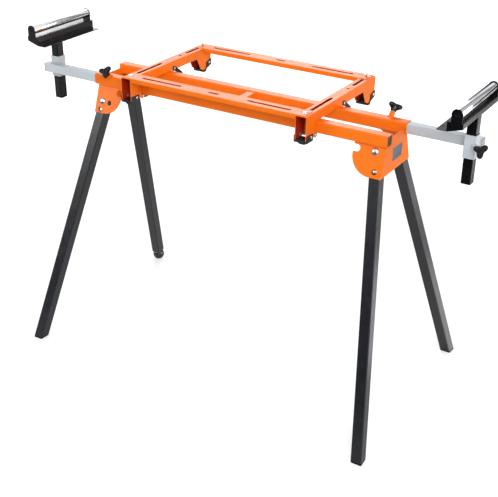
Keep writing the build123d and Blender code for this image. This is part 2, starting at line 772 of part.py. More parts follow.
for channel_name, channel_x in channels:
    near_wall = channel_x + channel_width / 2 - channel_sheet
    far_wall = channel_x - channel_width / 2
    with BuildPart() as channel:
        for wall_x in (near_wall, far_wall):
            with BuildSketch(side_plane(wall_x)):
                with Locations(((frame_rear - frame_front) / 2, beam_top + channel_height / 2)):
                    Rectangle(frame_rear + frame_front, channel_height)
                with Locations((-(frame_front + beam_front) / 2, (front_drop_z + channel_top) / 2)):
                    Rectangle(frame_front - beam_front, channel_top - front_drop_z)
                with Locations((-hook_y, hook_z)):
                    Circle(hook_tab_radius)
                with Locations(((beam_lane - beam_front) / 2, beam_middle - beam_under_gap / 2)):
                    Rectangle(
                        beam_lane + beam_front,
                        beam_side + beam_under_gap,
                        mode=Mode.SUBTRACT,
                    )
                with Locations((-hook_y, hook_z)):
                    Circle(hook_radius + shaft_gap, mode=Mode.SUBTRACT)
                with Locations((cam_y, cam_z)):
                    Circle(cam_tab_radius)
                    Circle(cam_pin_radius + shaft_gap, mode=Mode.SUBTRACT)
                with BuildLine():
                    Polyline(*rear_drop_points, close=True)
                make_face()
                with Locations(*pad_screws):
                    Circle(pad_screw_radius + shaft_gap, mode=Mode.SUBTRACT)
            extrude(amount=channel_sheet)
        with BuildSketch(Plane.XY.offset(channel_top - channel_sheet)):
            with Locations((channel_x, (frame_rear - frame_front) / 2)):
                Rectangle(channel_width, frame_rear + frame_front)
        extrude(amount=channel_sheet)
        fillet(channel.edges().filter_by(Axis.Y).group_by(Axis.Z)[-1], channel_bend)
        with BuildSketch(Plane.XY.offset(channel_top - channel_sheet)):
            with Locations((channel_x, channel_slot_y)):
                SlotOverall(channel_slot_length, slot_width, rotation=90)
            with Locations((channel_x, channel_rear_slot_y)):
                SlotOverall(channel_rear_slot_length, slot_width, rotation=90)
            with Locations((channel_x, channel_hole_y)):
                Circle(channel_hole_radius)
            with Locations((channel_x, front_rail_y), (channel_x, rear_rail_y)):
                Circle(corner_bolt_radius + corner_hole_gap)
        extrude(amount=channel_sheet, mode=Mode.SUBTRACT)
    write(channel.part, channel_name + "_channel")

    # Hook pin that runs under the front beam
    with BuildPart() as hook:
        with BuildSketch(side_plane(channel_x)):
            with Locations((-hook_y, hook_z)):
                Circle(hook_radius)
        extrude(amount=channel_width / 2 + hook_end, both=True)
        fillet(hook.edges().filter_by(GeomType.CIRCLE), hook_round)
    write(hook.part, channel_name + "_hook_pin")

    # Clamp cam on its pin, behind the rear beam
    cam_width = channel_width - 2 * channel_sheet - 2 * cam_side_gap
    cam_plane = side_plane(channel_x - cam_width / 2)
    with BuildPart() as cam:
        with BuildSketch(cam_plane):
            with Locations((cam_y, cam_z)):
                Circle(cam_radius)
            with Locations((cam_y - (cam_lobe - cam_radius / 2), cam_z)):
                Circle(cam_radius / 2)
        extrude(amount=cam_width)
        with BuildSketch(side_plane(far_wall)):
            with Locations((cam_y, cam_z)):
                Circle(cam_pin_radius)
        extrude(amount=channel_width + lever_gap + lever_thick)
    write(cam.part, channel_name + "_clamp_cam")

    # Lever on the end of that pin
    tip_y = cam_y + lever_length * cos(radians(lever_dip))
    tip_z = cam_z - lever_length * sin(radians(lever_dip))
    with BuildPart() as lever:
        with BuildSketch(side_plane(channel_x + channel_width / 2 + lever_gap)):
            with BuildSketch(mode=Mode.PRIVATE) as lever_outline:
                with Locations((cam_y, cam_z)):
                    Circle(lever_hub_radius)
                with Locations((tip_y, tip_z)):
                    Circle(lever_tip_radius)
            make_hull(lever_outline.edges())
            with Locations((cam_y, cam_z)):
                Circle(cam_pin_radius + shaft_gap, mode=Mode.SUBTRACT)
        extrude(amount=lever_thick)
    write(lever.part, channel_name + "_clamp_lever")

    # Rubber pads under the front and the rear feet
    for pad_name, pad_edge, seat, screw in (
        ("front", front_pad_edge, front_pad_edge, pad_screws[0]),
        ("rear", rear_pad_edge, rear_pad_edge[2:], pad_screws[1]),
    ):
        pad_half = channel_width / 2 + pad_cheek
        under = [(y, z - pad_thick) for y, z in reversed(pad_edge)]
        above = [(y, z + pad_cheek_height) for y, z in reversed(seat)]
        with BuildPart() as pad:
            with BuildSketch(side_plane(channel_x - pad_half)):
                with BuildLine():
                    Polyline(*pad_edge, *under, close=True)
                make_face()
            extrude(amount=2 * pad_half)
            for start in (channel_x - pad_half, channel_x + pad_half - pad_cheek):
                with BuildSketch(side_plane(start)):
                    with BuildLine():
                        Polyline(*seat, *above, close=True)
                    make_face()
                extrude(amount=pad_cheek)
            with BuildSketch(side_plane(channel_x - pad_half)):
                with Locations(screw):
                    Circle(pad_screw_radius + shaft_gap)
            extrude(amount=2 * pad_half, mode=Mode.SUBTRACT)
        write(pad.part, channel_name + "_" + pad_name + "_pad")

# Screws that hold the pads, one on each side of each foot
with BuildPart() as screws:
    for channel_name, channel_x in channels:
        for way in (1, -1):
            cheek_x = channel_x + way * (channel_width / 2 + pad_cheek)
            for screw in pad_screws:
                with BuildSketch(side_plane(cheek_x)):
                    with Locations(screw):
                        Circle(pad_screw_head_radius)
                extrude(amount=way * pad_screw_head)
                with BuildSketch(side_plane(cheek_x)):
                    with Locations(screw):
                        Circle(pad_screw_radius)
                extrude(amount=-way * (pad_cheek + channel_sheet + pad_screw_tail))
write(screws.part, "pad_screws")

# Rails on top of the channels, with lips between them
rail_half = channel_half_span + channel_width / 2 - rail_end_margin
lip_half = channel_half_span - channel_width / 2 - rail_gap
for rail_name, rail_y in (("front", front_rail_y), ("rear", rear_rail_y)):
    with BuildPart() as rail:
        with BuildSketch(Plane.XY.offset(channel_top)):
            with Locations((frame_x, rail_y)):
                Rectangle(2 * rail_half, rail_width)
        extrude(amount=rail_sheet)
        for edge_y in (rail_y - rail_width / 2 + rail_sheet / 2, rail_y + rail_width / 2 - rail_sheet / 2):
            with BuildSketch(Plane.XY.offset(channel_top)):
                with Locations((frame_x, edge_y)):
                    Rectangle(2 * lip_half, rail_sheet)
            extrude(amount=-rail_lip)
        with BuildSketch(Plane.XY.offset(channel_top)):
            with Locations((frame_x - rail_slot_centre, rail_y), (frame_x + rail_slot_centre, rail_y)):
                SlotOverall(rail_slot_length, slot_width)
            with Locations((frame_x, rail_y)):
                SlotOverall(rail_short_slot, slot_width)
            with Locations((channels[0][1], rail_y), (channels[1][1], rail_y)):
                Circle(corner_bolt_radius + corner_hole_gap)
        extrude(amount=rail_sheet, mode=Mode.SUBTRACT)
        fillet(rail.edges().filter_by(Axis.X).group_by(Axis.Z)[-1].sort_by(Axis.Y)[0], rail_bend)
        fillet(rail.edges().filter_by(Axis.X).group_by(Axis.Z)[-1].sort_by(Axis.Y)[-1], rail_bend)
    write(rail.part, rail_name + "_rail")

# Corner bolts: domed heads in front, studs standing up at the back
with BuildPart() as front_bolts:
    for channel_name, channel_x in channels:
        corner = (channel_x, front_rail_y)
        with BuildSketch(Plane.XY.offset(rail_top)):
            with Locations(corner):
                Circle(corner_head_radius)
        extrude(amount=corner_head_height)
        with BuildSketch(Plane.XY.offset(rail_top)):
            with Locations(corner):
                Circle(corner_bolt_radius)
        extrude(amount=-(rail_sheet + channel_sheet + corner_nut_height + corner_tail))
        with BuildSketch(Plane.XY.offset(channel_top - channel_sheet)):
            with Locations(corner):
                RegularPolygon(corner_nut_flats / 2, 6, major_radius=False)
        extrude(amount=-corner_nut_height)
write(front_bolts.part, "front_corner_bolts")

with BuildPart() as rear_bolts:
    for channel_name, channel_x in channels:
        corner = (channel_x, rear_rail_y)
        with BuildSketch(Plane.XY.offset(channel_top - channel_sheet)):
            with Locations(corner):
                Circle(corner_head_radius)
        extrude(amount=-corner_head_height)
        with BuildSketch(Plane.XY.offset(channel_top - channel_sheet)):
            with Locations(corner):
                Circle(corner_bolt_radius)
        extrude(amount=channel_sheet + rail_sheet + corner_stud_height)
        with BuildSketch(Plane.XY.offset(rail_top)):
            with Locations(corner):
                RegularPolygon(corner_nut_flats / 2, 6, major_radius=False)
        extrude(amount=corner_nut_height)
write(rear_bolts.part, "rear_corner_bolts")
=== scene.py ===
import json
from math import cos, pi, radians, sin, sqrt, tan
import bmesh
import bpy
from mathutils import Matrix, Vector
from mathutils.bvhtree import BVHTree
from mathutils.geometry import tessellate_polygon


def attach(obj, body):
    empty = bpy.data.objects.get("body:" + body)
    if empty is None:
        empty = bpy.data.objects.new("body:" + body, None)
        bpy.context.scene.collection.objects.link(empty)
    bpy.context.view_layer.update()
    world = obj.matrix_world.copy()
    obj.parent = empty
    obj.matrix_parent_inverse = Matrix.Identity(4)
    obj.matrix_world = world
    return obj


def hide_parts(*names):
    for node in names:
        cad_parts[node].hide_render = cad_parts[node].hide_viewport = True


# Folding miter saw stand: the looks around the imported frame.
# Lengths are in millimetres and MM turns them into metres.

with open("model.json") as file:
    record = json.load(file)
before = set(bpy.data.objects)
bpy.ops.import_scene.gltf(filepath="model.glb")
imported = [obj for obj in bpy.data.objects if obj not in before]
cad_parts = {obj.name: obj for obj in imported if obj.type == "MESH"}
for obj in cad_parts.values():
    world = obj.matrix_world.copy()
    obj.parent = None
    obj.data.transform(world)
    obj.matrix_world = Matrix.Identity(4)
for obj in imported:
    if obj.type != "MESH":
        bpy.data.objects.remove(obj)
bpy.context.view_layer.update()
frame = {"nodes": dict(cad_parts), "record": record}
MM = 0.001
SCENE = bpy.context.scene

# Main places, as in the part's source
BEAM_LANE = 55.0
BEAM_MIDDLE = 765.0
BEAM_BOTTOM = 750.0
BEAM_SIDE = 30.0
BEAM_CORNER = 4.0
LEAN = radians(19.0)
SPLAY = radians(8.7)
LEAN_LINE = 60.0
UPPER_PIVOT = (418.5, 16.7)
LOWER_PIVOT = (423.213, 47.5)
UPPER_LOCK = 49.5
LOWER_LOCK = 24.5
SLEEVE_X = 623.0
SLEEVE_Y = 27.5
SLEEVE_Z = 769.0
SLEEVE_SIDE = 30.0
SLEEVE_CORNER = 3.0
ARM_KNOB_X = 395.0
CHANNELS = (("left", -300.0), ("right", 240.0))
RAIL_TOP = 807.0
FRONT_RAIL_Y = -96.0
REAR_RAIL_Y = 246.0

LEGS = (
    ("front_right", 1, 1, UPPER_PIVOT, UPPER_LOCK),
    ("rear_left", -1, 1, UPPER_PIVOT, UPPER_LOCK),
    ("front_left", 1, -1, LOWER_PIVOT, LOWER_LOCK),
    ("rear_right", -1, -1, LOWER_PIVOT, LOWER_LOCK),
)
ENDS = ((1, "front", "left"), (-1, "rear", "right"))


# Materials: the part of a noise that spreads the colour and the gloss, how much finer the gloss
# patches are than the colour's, and the clear coat's roughness
COLOR_SPAN = (0.35, 0.65)
VALUE_SPAN = (0.3, 0.7)
GLOSS_PATCHES = 5
COAT_ROUGHNESS = 0.12


def new_material(name):
    """A new material, its node tree and its shader."""
    made = bpy.data.materials.new(name)
    made.use_nodes = True
    tree = made.node_tree
    shader = tree.nodes["Principled BSDF"]
    return made, tree, shader


def noise(tree, scale, detail, stretch=(1, 1, 1)):
    """A noise value over the object's own coordinates."""
    coord = tree.nodes.new("ShaderNodeTexCoord")
    mapping = tree.nodes.new("ShaderNodeMapping")
    mapping.inputs["Scale"].default_value = stretch
    texture = tree.nodes.new("ShaderNodeTexNoise")
    texture.inputs["Scale"].default_value = scale
    texture.inputs["Detail"].default_value = detail
    tree.links.new(coord.outputs["Object"], mapping.inputs["Vector"])
    tree.links.new(mapping.outputs["Vector"], texture.inputs["Vector"])
    return texture.outputs["Fac"]


def spread_color(tree, shader, color, spread, factor):
    """The base colour, a little darker and lighter from place to place."""
    ramp = tree.nodes.new("ShaderNodeValToRGB")
    low, high = ramp.color_ramp.elements
    low.position, high.position = COLOR_SPAN
    low.color = [c * (1 - spread) for c in color] + [1]
    high.color = [min(1.0, c * (1 + spread)) for c in color] + [1]
    tree.links.new(factor, ramp.inputs["Fac"])
    tree.links.new(ramp.outputs["Color"], shader.inputs["Base Color"])


def spread_value(tree, socket, low, high, factor):
    """A shader value that moves between two limits."""
    span = tree.nodes.new("ShaderNodeMapRange")
    span.inputs["From Min"].default_value = VALUE_SPAN[0]
    span.inputs["From Max"].default_value = VALUE_SPAN[1]
    span.inputs["To Min"].default_value = low
    span.inputs["To Max"].default_value = high
    tree.links.new(factor, span.inputs["Value"])
    tree.links.new(span.outputs["Result"], socket)


def bump(tree, shader, height, strength, distance):
    """Fine relief in the surface."""
    node = tree.nodes.new("ShaderNodeBump")
    node.inputs["Strength"].default_value = strength
    node.inputs["Distance"].default_value = distance
    tree.links.new(height, node.inputs["Height"])
    tree.links.new(node.outputs["Normal"], shader.inputs["Normal"])


def surface(name, color, rough, spread=0.05, rough_spread=0.05, grain=700.0, relief=0.15,
            depth=0.05, metallic=0.0, patch=9.0, stretch=(1, 1, 1), coat=0.0, specular=0.5):
    """A coated or bare surface with colour patches, uneven gloss and fine grain."""
    made, tree, shader = new_material(name)
    spread_color(tree, shader, color, spread, noise(tree, patch, 4.0, stretch))
    spread_value(
        tree, shader.inputs["Roughness"], rough - rough_spread, rough + rough_spread,
        noise(tree, patch * GLOSS_PATCHES, 3.0, stretch),
    )
    bump(tree, shader, noise(tree, grain, 2.0, stretch), relief, depth * MM)
    shader.inputs["Metallic"].default_value = metallic
    shader.inputs["Specular IOR Level"].default_value = specular
    shader.inputs["Coat Weight"].default_value = coat
    shader.inputs["Coat Roughness"].default_value = COAT_ROUGHNESS
    return made


ORANGE = surface("orange_powder_coat", (0.90, 0.175, 0.004), 0.36, spread=0.05, grain=620.0,
                 relief=0.22, depth=0.09, specular=0.24)
# A darker orange as painted shade on faces in a piece's own hollows; the coat there is the same
# orange
ORANGE_PAINTED_SHADE = surface("orange_coat_painted_shade", (0.42, 0.018, 0.002), 0.45, spread=0.08,
                        grain=620.0, relief=0.22, depth=0.09, specular=0.20)
LEG_PAINT = surface("charcoal_powder_coat", (0.009, 0.010, 0.013), 0.34, spread=0.14, grain=900.0,
                    relief=0.3, depth=0.08, specular=0.50)
BLACK_PAINT = surface("black_powder_coat", (0.004, 0.004, 0.005), 0.24, spread=0.14, grain=800.0,
                      relief=0.2, depth=0.05, specular=0.50)
SILVER = surface("silver_grey_coat", (0.54, 0.585, 0.625), 0.42, spread=0.04, grain=900.0,
                 relief=0.18, depth=0.06, specular=0.22)
CHROME = surface("chrome_roller", (0.80, 0.81, 0.83), 0.075, spread=0.04, rough_spread=0.025,
                 grain=260.0, relief=0.06, depth=0.012, metallic=1.0, patch=5.0,
                 stretch=(1.0, 9.0, 1.0))
GREY_PLASTIC = surface("grey_moulded_plastic", (0.30, 0.32, 0.34), 0.42, spread=0.06,
                       grain=1800.0, relief=0.25, depth=0.04)
ZINC = surface("zinc_plate", (0.62, 0.62, 0.60), 0.30, spread=0.10, rough_spread=0.08,
               grain=1500.0, relief=0.2, depth=0.03, metallic=1.0, patch=60.0)
PLASTIC = surface("black_moulded_plastic", (0.005, 0.005, 0.007), 0.27, spread=0.15,
                  grain=1800.0, relief=0.25, depth=0.04, specular=0.26)
GLOSS = surface("black_gloss_plastic", (0.005, 0.005, 0.006), 0.16, spread=0.1,
                rough_spread=0.04, grain=500.0, relief=0.05, depth=0.03, coat=0.6)
RUBBER = surface("black_rubber", (0.009, 0.009, 0.010), 0.60, spread=0.2, grain=1400.0,
                 relief=0.4, depth=0.06)
STICKER = surface("grey_sticker", (0.085, 0.100, 0.125), 0.45, spread=0.05, grain=300.0,
                  relief=0.08, depth=0.03)


# Mesh tools


def point(x, y, z):
    """A place in metres from millimetres."""
    return Vector((x, y, z)) * MM


def turned(turn, x, y, z):
    """A direction or place, turned half way round the upright middle axis when turn is -1."""
    return Vector((turn * x, turn * y, z))


def lean_vector(along, down, deep):
    """A direction in the leaning plane: along the beams, down the slope, and inward."""
    back = deep * cos(LEAN) - down * sin(LEAN)
    rise = -down * cos(LEAN) - deep * sin(LEAN)
    return Vector((along, back, rise))


def lean_point(turn, along, down, deep):
    """A place in metres from the leaning plane's own measures."""
    place = lean_vector(along, down, deep) + Vector((0, -LEAN_LINE, BEAM_BOTTOM))
    return turned(turn, *place) * MM


def axes(origin, axis, side=(1, 0, 0)):
    """The matrix of a local frame whose z is the axis, at an origin in metres."""
    z = Vector(axis).normalized()
    x = Vector(side)
    x = (x - z * x.dot(z)).normalized()
    y = z.cross(x)
    matrix = Matrix((x, y, z)).transposed().to_4x4()
    matrix.translation = origin
    return matrix


def ring(bm, matrix, points):
    """Vertices from points in millimetres in a local frame."""
    return [bm.verts.new(matrix @ (Vector(p) * MM)) for p in points]


def bridge(bm, first, second, closed=True):
    """Faces between two rows of vertices; a row of one vertex is a pole."""
    count = max(len(first), len(second))
    for i in range(count if closed else count - 1):
        j = (i + 1) % count
        if len(first) == 1:
            bm.faces.new((first[0], second[j], second[i]))
        elif len(second) == 1:
            bm.faces.new((first[i], first[j], second[0]))
        else:
            bm.faces.new((first[i], first[j], second[j], second[i]))


def add_rows(bm, matrix, rows):
    """A closed skin from rows of points, each row a ring or a single pole."""
    made = [ring(bm, matrix, row) for row in rows]
    for first, second in zip(made, made[1:]):
        bridge(bm, first, second)
    for row in (made[0], made[-1]):
        if len(row) > 1:
            bm.faces.new(row)


def circle(radius, height, segments=48):
    """A ring of points round the local z axis, or its pole where the radius is 0."""
    if radius <= 0:
        return [(0, 0, height)]
    turn = 2 * pi / segments
    return [(radius * cos(i * turn), radius * sin(i * turn), height) for i in range(segments)]


def add_lathe(bm, matrix, profile, segments=48):
    """A turned form from (radius, height) pairs."""
    add_rows(bm, matrix, [circle(r, h, segments) for r, h in profile])


def mirrored(profile):
    """The profile of a rod with this same end on both sides of its middle."""
    return [(r, -h) for r, h in reversed(profile)] + list(profile)


# Thread form: its depth as a share of the pitch, the rows of points per turn, the slope and
# start of its flanks, and the length and slope of the chamfer at its end
THREAD_DEPTH = 0.55
THREAD_ROWS = 8
FLANK_RISE = 1.5
FLANK_START = 0.25
CHAMFER = 0.8
CHAMFER_SLOPE = 0.9


def add_thread(bm, matrix, radius, start, end, pitch=1.25, segments=24):
    """A threaded rod whose ridge winds round it, with a chamfer at its far end."""
    depth = THREAD_DEPTH * pitch
    steps = max(4, round(abs(end - start) / pitch * THREAD_ROWS))
    rows = [[(0, 0, start)]]
    for i in range(steps + 1):
        height = start + (end - start) * i / steps
        row = []
        for j in range(segments):
            share = j / segments
            phase = (abs(height - start) / pitch - share) % 1
            cut = depth * min(1.0, max(0.0, abs(2 * phase - 1) * FLANK_RISE - FLANK_START))
            shoulder = max(0.0, CHAMFER - abs(end - height)) * CHAMFER_SLOPE
            reach = radius - max(cut, shoulder)
            angle = 2 * pi * share
            row.append((reach * cos(angle), reach * sin(angle), height))
        rows.append(row)
    rows.append([(0, 0, end)])
    add_rows(bm, matrix, rows)


# The round face of a nut as a share of its width, and the slope of its chamfer
NUT_FACE = 0.95
NUT_CHAMFER = radians(30)


def add_hex(bm, matrix, flats, start, height, hole):
    """A hexagon nut with chamfered corners round a rod, from a start height."""
    segments = 72
    slope = tan(NUT_CHAMFER)
    face = flats / 2 * NUT_FACE

    def reach(i):
        angle = 2 * pi * i / segments
        return flats / 2 / cos((angle % (pi / 3)) - pi / 6)

    def row(size):
        return [
            (size(i) * cos(2 * pi * i / segments), size(i) * sin(2 * pi * i / segments))
            for i in range(segments)
        ]

    rim = row(reach)
    drop = [max(0.0, (reach(i) - face) * slope) for i in range(segments)]
    inner = row(lambda i: hole)
    flat = row(lambda i: min(face, reach(i)))
    low = [(x, y, start + d) for (x, y), d in zip(rim, drop)]
    high = [(x, y, start + height - d) for (x, y), d in zip(rim, drop)]
    rows = [
        [(x, y, start) for x, y in inner],
        [(x, y, start) for x, y in flat],
        low,
        high,
        [(x, y, start + height) for x, y in flat],
        [(x, y, start + height) for x, y in inner],
    ]
    made = [ring(bm, matrix, r) for r in rows]
    for first, second in zip(made, made[1:] + made[:1]):
        bridge(bm, first, second)


# Bead form: the ripples along it, the step between its rings, its tapered ends, a side for the
# rings to start from, and the (size, pace, start) of the two waves that make it uneven
RIPPLE_PITCH = 1.7 * MM
RIPPLE_LOW = 0.86
RIPPLE_RISE = 0.22
RIPPLE_POWER = 0.7
BEAD_STEP = 0.3 * MM
BEAD_TAPER = 1.4
BEAD_TIP = 0.03
BEAD_SIDE = (0.31, 0.57, 0.76)
WAVES = ((0.06, 0.37, 0), (0.04, 0.11, 1))


def add_bead(bm, points, radius, closed=False):
    """A weld bead: overlapping ripples along a line of points in metres."""
    dense = []
    corners = points + points[:1] if closed else points
    for a, b in zip(corners, corners[1:]):
        count = max(1, round((b - a).length / BEAD_STEP))
        dense += [a.lerp(b, i / count) for i in range(count)]
    if not closed:
        dense.append(corners[-1])
    total = len(dense)
    rows = []
    travelled = 0.0
    for i, place in enumerate(dense):
        before = dense[i - 1] if closed or i else place
        after = dense[(i + 1) % total] if closed or i < total - 1 else place
        heading = (after - before).normalized()
        local = axes(place, heading, BEAD_SIDE)
        share = (travelled / RIPPLE_PITCH) % 1
        swell = RIPPLE_LOW + RIPPLE_RISE * (1 - share) ** RIPPLE_POWER
        if not closed:
            end = min(i, total - 1 - i) * BEAD_STEP / (BEAD_TAPER * radius * MM)
            swell *= min(1.0, sqrt(max(BEAD_TIP, end)))
        wander = sum(high * sin(i * pace + start) for high, pace, start in WAVES)
        size = radius * (swell + wander)
        rows.append(ring(bm, local, circle(size, 0, 12)))
        travelled += BEAD_STEP
    for first, second in zip(rows, rows[1:]):
        bridge(bm, first, second)
    if closed:
        bridge(bm, rows[-1], rows[0])
    else:
        bm.faces.new(rows[0])
        bm.faces.new(rows[-1])


def rounded(width, height, corner, level):
    """A ring of points round a rectangle with round corners."""
    points = []
    for quarter, (sx, sy) in enumerate(((1, 1), (-1, 1), (-1, -1), (1, -1))):
        for i in range(9):
            angle = pi / 2 * (quarter + i / 8)
            x = sx * (width / 2 - corner) + corner * cos(angle)
            y = sy * (height / 2 - corner) + corner * sin(angle)
            points.append((x, y, level))
    return points


NORMAL_WEIGHT = 80
# The body that each node belongs to
NODE_BODY = {n: b for b, ns in frame["record"]["behaviour"]["bodies"].items() for n in ns}


def finish(name, bm, material, body, nodes=(), sharp=32.0, weighted=False):
    """A piece from its mesh: smooth but for its sharp edges, riding on its body."""
    bmesh.ops.recalc_face_normals(bm, faces=bm.faces)
    mesh = bpy.data.meshes.new(name)
    bm.to_mesh(mesh)
    bm.free()
    mesh.polygons.foreach_set("use_smooth", [True] * len(mesh.polygons))
    mesh.set_sharp_from_angle(angle=radians(sharp))
    piece = bpy.data.objects.new(name, mesh)
    SCENE.collection.objects.link(piece)
    mesh.materials.append(material)
    if weighted:
        normals = piece.modifiers.new("even_normals", "WEIGHTED_NORMAL")
        normals.keep_sharp = True
        normals.weight = NORMAL_WEIGHT
    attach(piece, body)
    if nodes:
        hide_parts(*nodes)
    return piece


# How a face is tested for looking at its own piece's other faces, which marks it for painted shade
INSIDE_LIFT = 0.3 * MM
INSIDE_STEP = 0.2 * MM
INSIDE_CORNERS = 12
INSIDE_SHARE = 0.25
INSIDE_RAYS = 8
INSIDE_TILT = radians(53.0)
INSIDE_REACH = 90.0 * MM


def mark_painted_shade(bm):
    """Give the second material, a painted shade, to the faces that look at the piece's own other
    faces.
    """
    tree = BVHTree.FromBMesh(bm)
    for face in bm.faces:
        across = face.normal.orthogonal()
        step = max(1, len(face.loops) // INSIDE_CORNERS)
        rays, hits = 0, 0
        for loop in list(face.loops)[::step]:
            start = loop.vert.co + loop.calc_tangent() * INSIDE_STEP + face.normal * INSIDE_LIFT
            for i in range(INSIDE_RAYS):
                spin = Matrix.Rotation(2 * pi * i / INSIDE_RAYS, 3, face.normal)
                way = face.normal * cos(INSIDE_TILT) + spin @ across * sin(INSIDE_TILT)
                rays += 1
                if tree.ray_cast(start, way, INSIDE_REACH)[0] is not None:
                    hits += 1
        if hits >= rays * INSIDE_SHARE:
            face.material_index = 1


# Limits of the repair of crossed outlines
FOLD_AREA = 0.002 * MM * MM
RUN_LIMIT = 40
UNTANGLE_PASSES = 8


def folded_faces(bm):
    """The faces with triangles turned against them, because their outlines cross themselves."""
    faces = []
    for loops in bm.calc_loop_triangles():
        first, second, third = (loop.vert.co for loop in loops)
        area = (second - first).cross(third - first) / 2
        if area.dot(loops[0].face.normal) < -FOLD_AREA and loops[0].face not in faces:
            faces.append(loops[0].face)
    return faces


def crossed_run(face):
    """The shortest run of a face's corners that a crossing cuts off, and the crossing's place."""
    verts = list(face.verts)
    across = face.normal.orthogonal().normalized()
    upward = face.normal.cross(across)
    flat = [(v.co.dot(across), v.co.dot(upward)) for v in verts]
    total = len(verts)
    best, place = None, None
    for i in range(total):
        ax, ay = flat[i]
        bx, by = flat[(i + 1) % total]
        for j in range(i + 2, total if i else total - 1):
            cx, cy = flat[j]
            dx, dy = flat[(j + 1) % total]
            if max(ax, bx) < min(cx, dx) or max(cx, dx) < min(ax, bx):
                continue
            if max(ay, by) < min(cy, dy) or max(cy, dy) < min(ay, by):
                continue
            spread = (bx - ax) * (dy - cy) - (by - ay) * (dx - cx)
            if spread == 0:
                continue
            s = ((cx - ax) * (dy - cy) - (cy - ay) * (dx - cx)) / spread
            t = ((cx - ax) * (by - ay) - (cy - ay) * (bx - ax)) / spread
            if not (0 <= s <= 1 and 0 <= t <= 1):
                continue
            inner = verts[i + 1:j + 1]
            outer = verts[j + 1:] + verts[:i + 1]
            run = inner if len(inner) <= len(outer) else outer
            if len(run) > 1 and (best is None or len(run) < len(best)):
                best = run
                place = verts[i].co.lerp(verts[(i + 1) % total].co, s)
    return best, place


def untangle(bm):
    """Draw each small loop that a face's own outline crosses off together to one corner."""
    for _ in range(UNTANGLE_PASSES):
        bm.normal_update()
        targets, used = {}, set()
        for face in folded_faces(bm):
            run, place = crossed_run(face)
            if run is None or len(run) > RUN_LIMIT or used & set(run):
                continue
            used |= set(run)
            run[0].co = place
            targets.update({vert: run[0] for vert in run[1:]})
        if not targets:
            return
        bmesh.ops.weld_verts(bm, targetmap=targets)


# Tolerances of the CAD meshes, and the angles at which an edge is rounded or kept sharp
MERGE_REACH = 0.002 * MM
FLAT_ANGLE = radians(0.4)
ROUNDED_ANGLE = radians(40)
SHARP_DEGREES = 38.0


def softened(node, material, width=0.5, segments=2, inside_shade=None):
    """A CAD node's own shape with its sharp edges rounded, standing for the node."""
    bm = bmesh.new()
    bm.from_mesh(frame["nodes"][node].data)
    bmesh.ops.remove_doubles(bm, verts=bm.verts, dist=MERGE_REACH)
    bmesh.ops.dissolve_limit(bm, angle_limit=FLAT_ANGLE, verts=bm.verts, edges=bm.edges)
    edges = [e for e in bm.edges if e.is_manifold and e.calc_face_angle(0) > ROUNDED_ANGLE]
    bmesh.ops.bevel(
        bm, geom=edges, offset=width * MM, segments=segments, profile=0.5,
        affect="EDGES", clamp_overlap=False,
    )
    untangle(bm)
    # Faces that look at the piece's own other faces take the painted shade
    if inside_shade:
        bm.normal_update()
        mark_painted_shade(bm)
    piece = finish(node + "_finished", bm, material, NODE_BODY[node], [node],
                   sharp=SHARP_DEGREES, weighted=True)
    if inside_shade:
        piece.data.materials.append(inside_shade)


# Pieces with the CAD's own shapes, their edges rounded

for _, depth_name, arm_name in ENDS:
    softened(depth_name + "_beam", ORANGE, 0.45)
    softened(arm_name + "_clamp_boss", ORANGE, 0.6)
    softened(arm_name + "_leg_bracket", ORANGE, 0.5)
    softened(arm_name + "_beam_plug", PLASTIC, 0.8, 3)
    # Channels and rails get painted shade on the faces in their hollows
    softened(arm_name + "_channel", ORANGE, 0.5, inside_shade=ORANGE_PAINTED_SHADE)
    softened(depth_name + "_rail", ORANGE, 0.5, inside_shade=ORANGE_PAINTED_SHADE)
    softened(arm_name + "_arm", SILVER, 0.35)
    softened(arm_name + "_arm_cap", GREY_PLASTIC, 0.8, 3)
    softened(arm_name + "_post", BLACK_PAINT, 0.35)
    softened(arm_name + "_roller_carrier", BLACK_PAINT, 0.5)
    softened(arm_name + "_clamp_cam", ZINC, 0.5)
    softened(arm_name + "_clamp_lever", PLASTIC, 1.1, 4)
    softened(arm_name + "_front_pad", RUBBER, 0.9, 3)
    softened(arm_name + "_rear_pad", RUBBER, 0.9, 3)
softened("cross_strut", ORANGE, 0.4)
for leg_name, *_ in LEGS:
    softened(leg_name + "_leg", LEG_PAINT, 0.4)
    if leg_name != "rear_left":
        softened(leg_name + "_foot_cap", PLASTIC, 0.8, 3)
softened("rear_left_foot_socket", PLASTIC, 0.6)


# Weld beads: their radii, and the edges that they follow
BOSS_BEAD = 1.25
BOSS_BEAD_REACH = 7.6
BOSS_BEAD_LIFT = 0.2
BOSS_BEAD_POINTS = 60
STRUT_BEAD = 1.4
STRUT_HALF = 12.6
STRUT_BEAD_HALF = 11.0
STRUT_BEAD_LEVELS = (755.0, 775.0)
BEAM_SKIN = BEAM_LANE - BEAM_SIDE / 2 - 0.5
WEB_BEAD = 1.3
WEB_X = 443.5
WEB_HALF = 39.6
WEB_BEAD_LEVELS = (751.0, 767.0)
PLATE_BEAD = 1.2
PLATE_BEAD_Y = -60.6
PLATE_BEAD_Z = 749.3
PLATE_BEAD_ENDS = (370.0, 405.0)
SLEEVE_BEAD = 1.3
SLEEVE_BEAD_Y = -42.2
SLEEVE_BEAD_OUT = 14.2
SLEEVE_BEAD_LEVELS = (754.5, 775.5)
SLEEVE_RIM_Y = -42.9
SLEEVE_RIM_HALF = 12.0
SLEEVE_RIM_LEVELS = (752.3, 777.6)
POST_BEAD = 1.1
POST_EDGE = 12.6
POST_BEAD_OUT = 10.0
POST_BEAD_HALF = 2.5
POST_BEAD_Z = 864.4


def corner_height(offset, side, corner):
    """How far a square tube's skin is from its middle at a corner, at an offset across it."""
    if abs(offset) > corner * sqrt(1 / 2):
        return side / 2 * sqrt(2) - abs(offset)
    return (side / 2 - corner) * sqrt(2) + sqrt(corner**2 - offset**2)


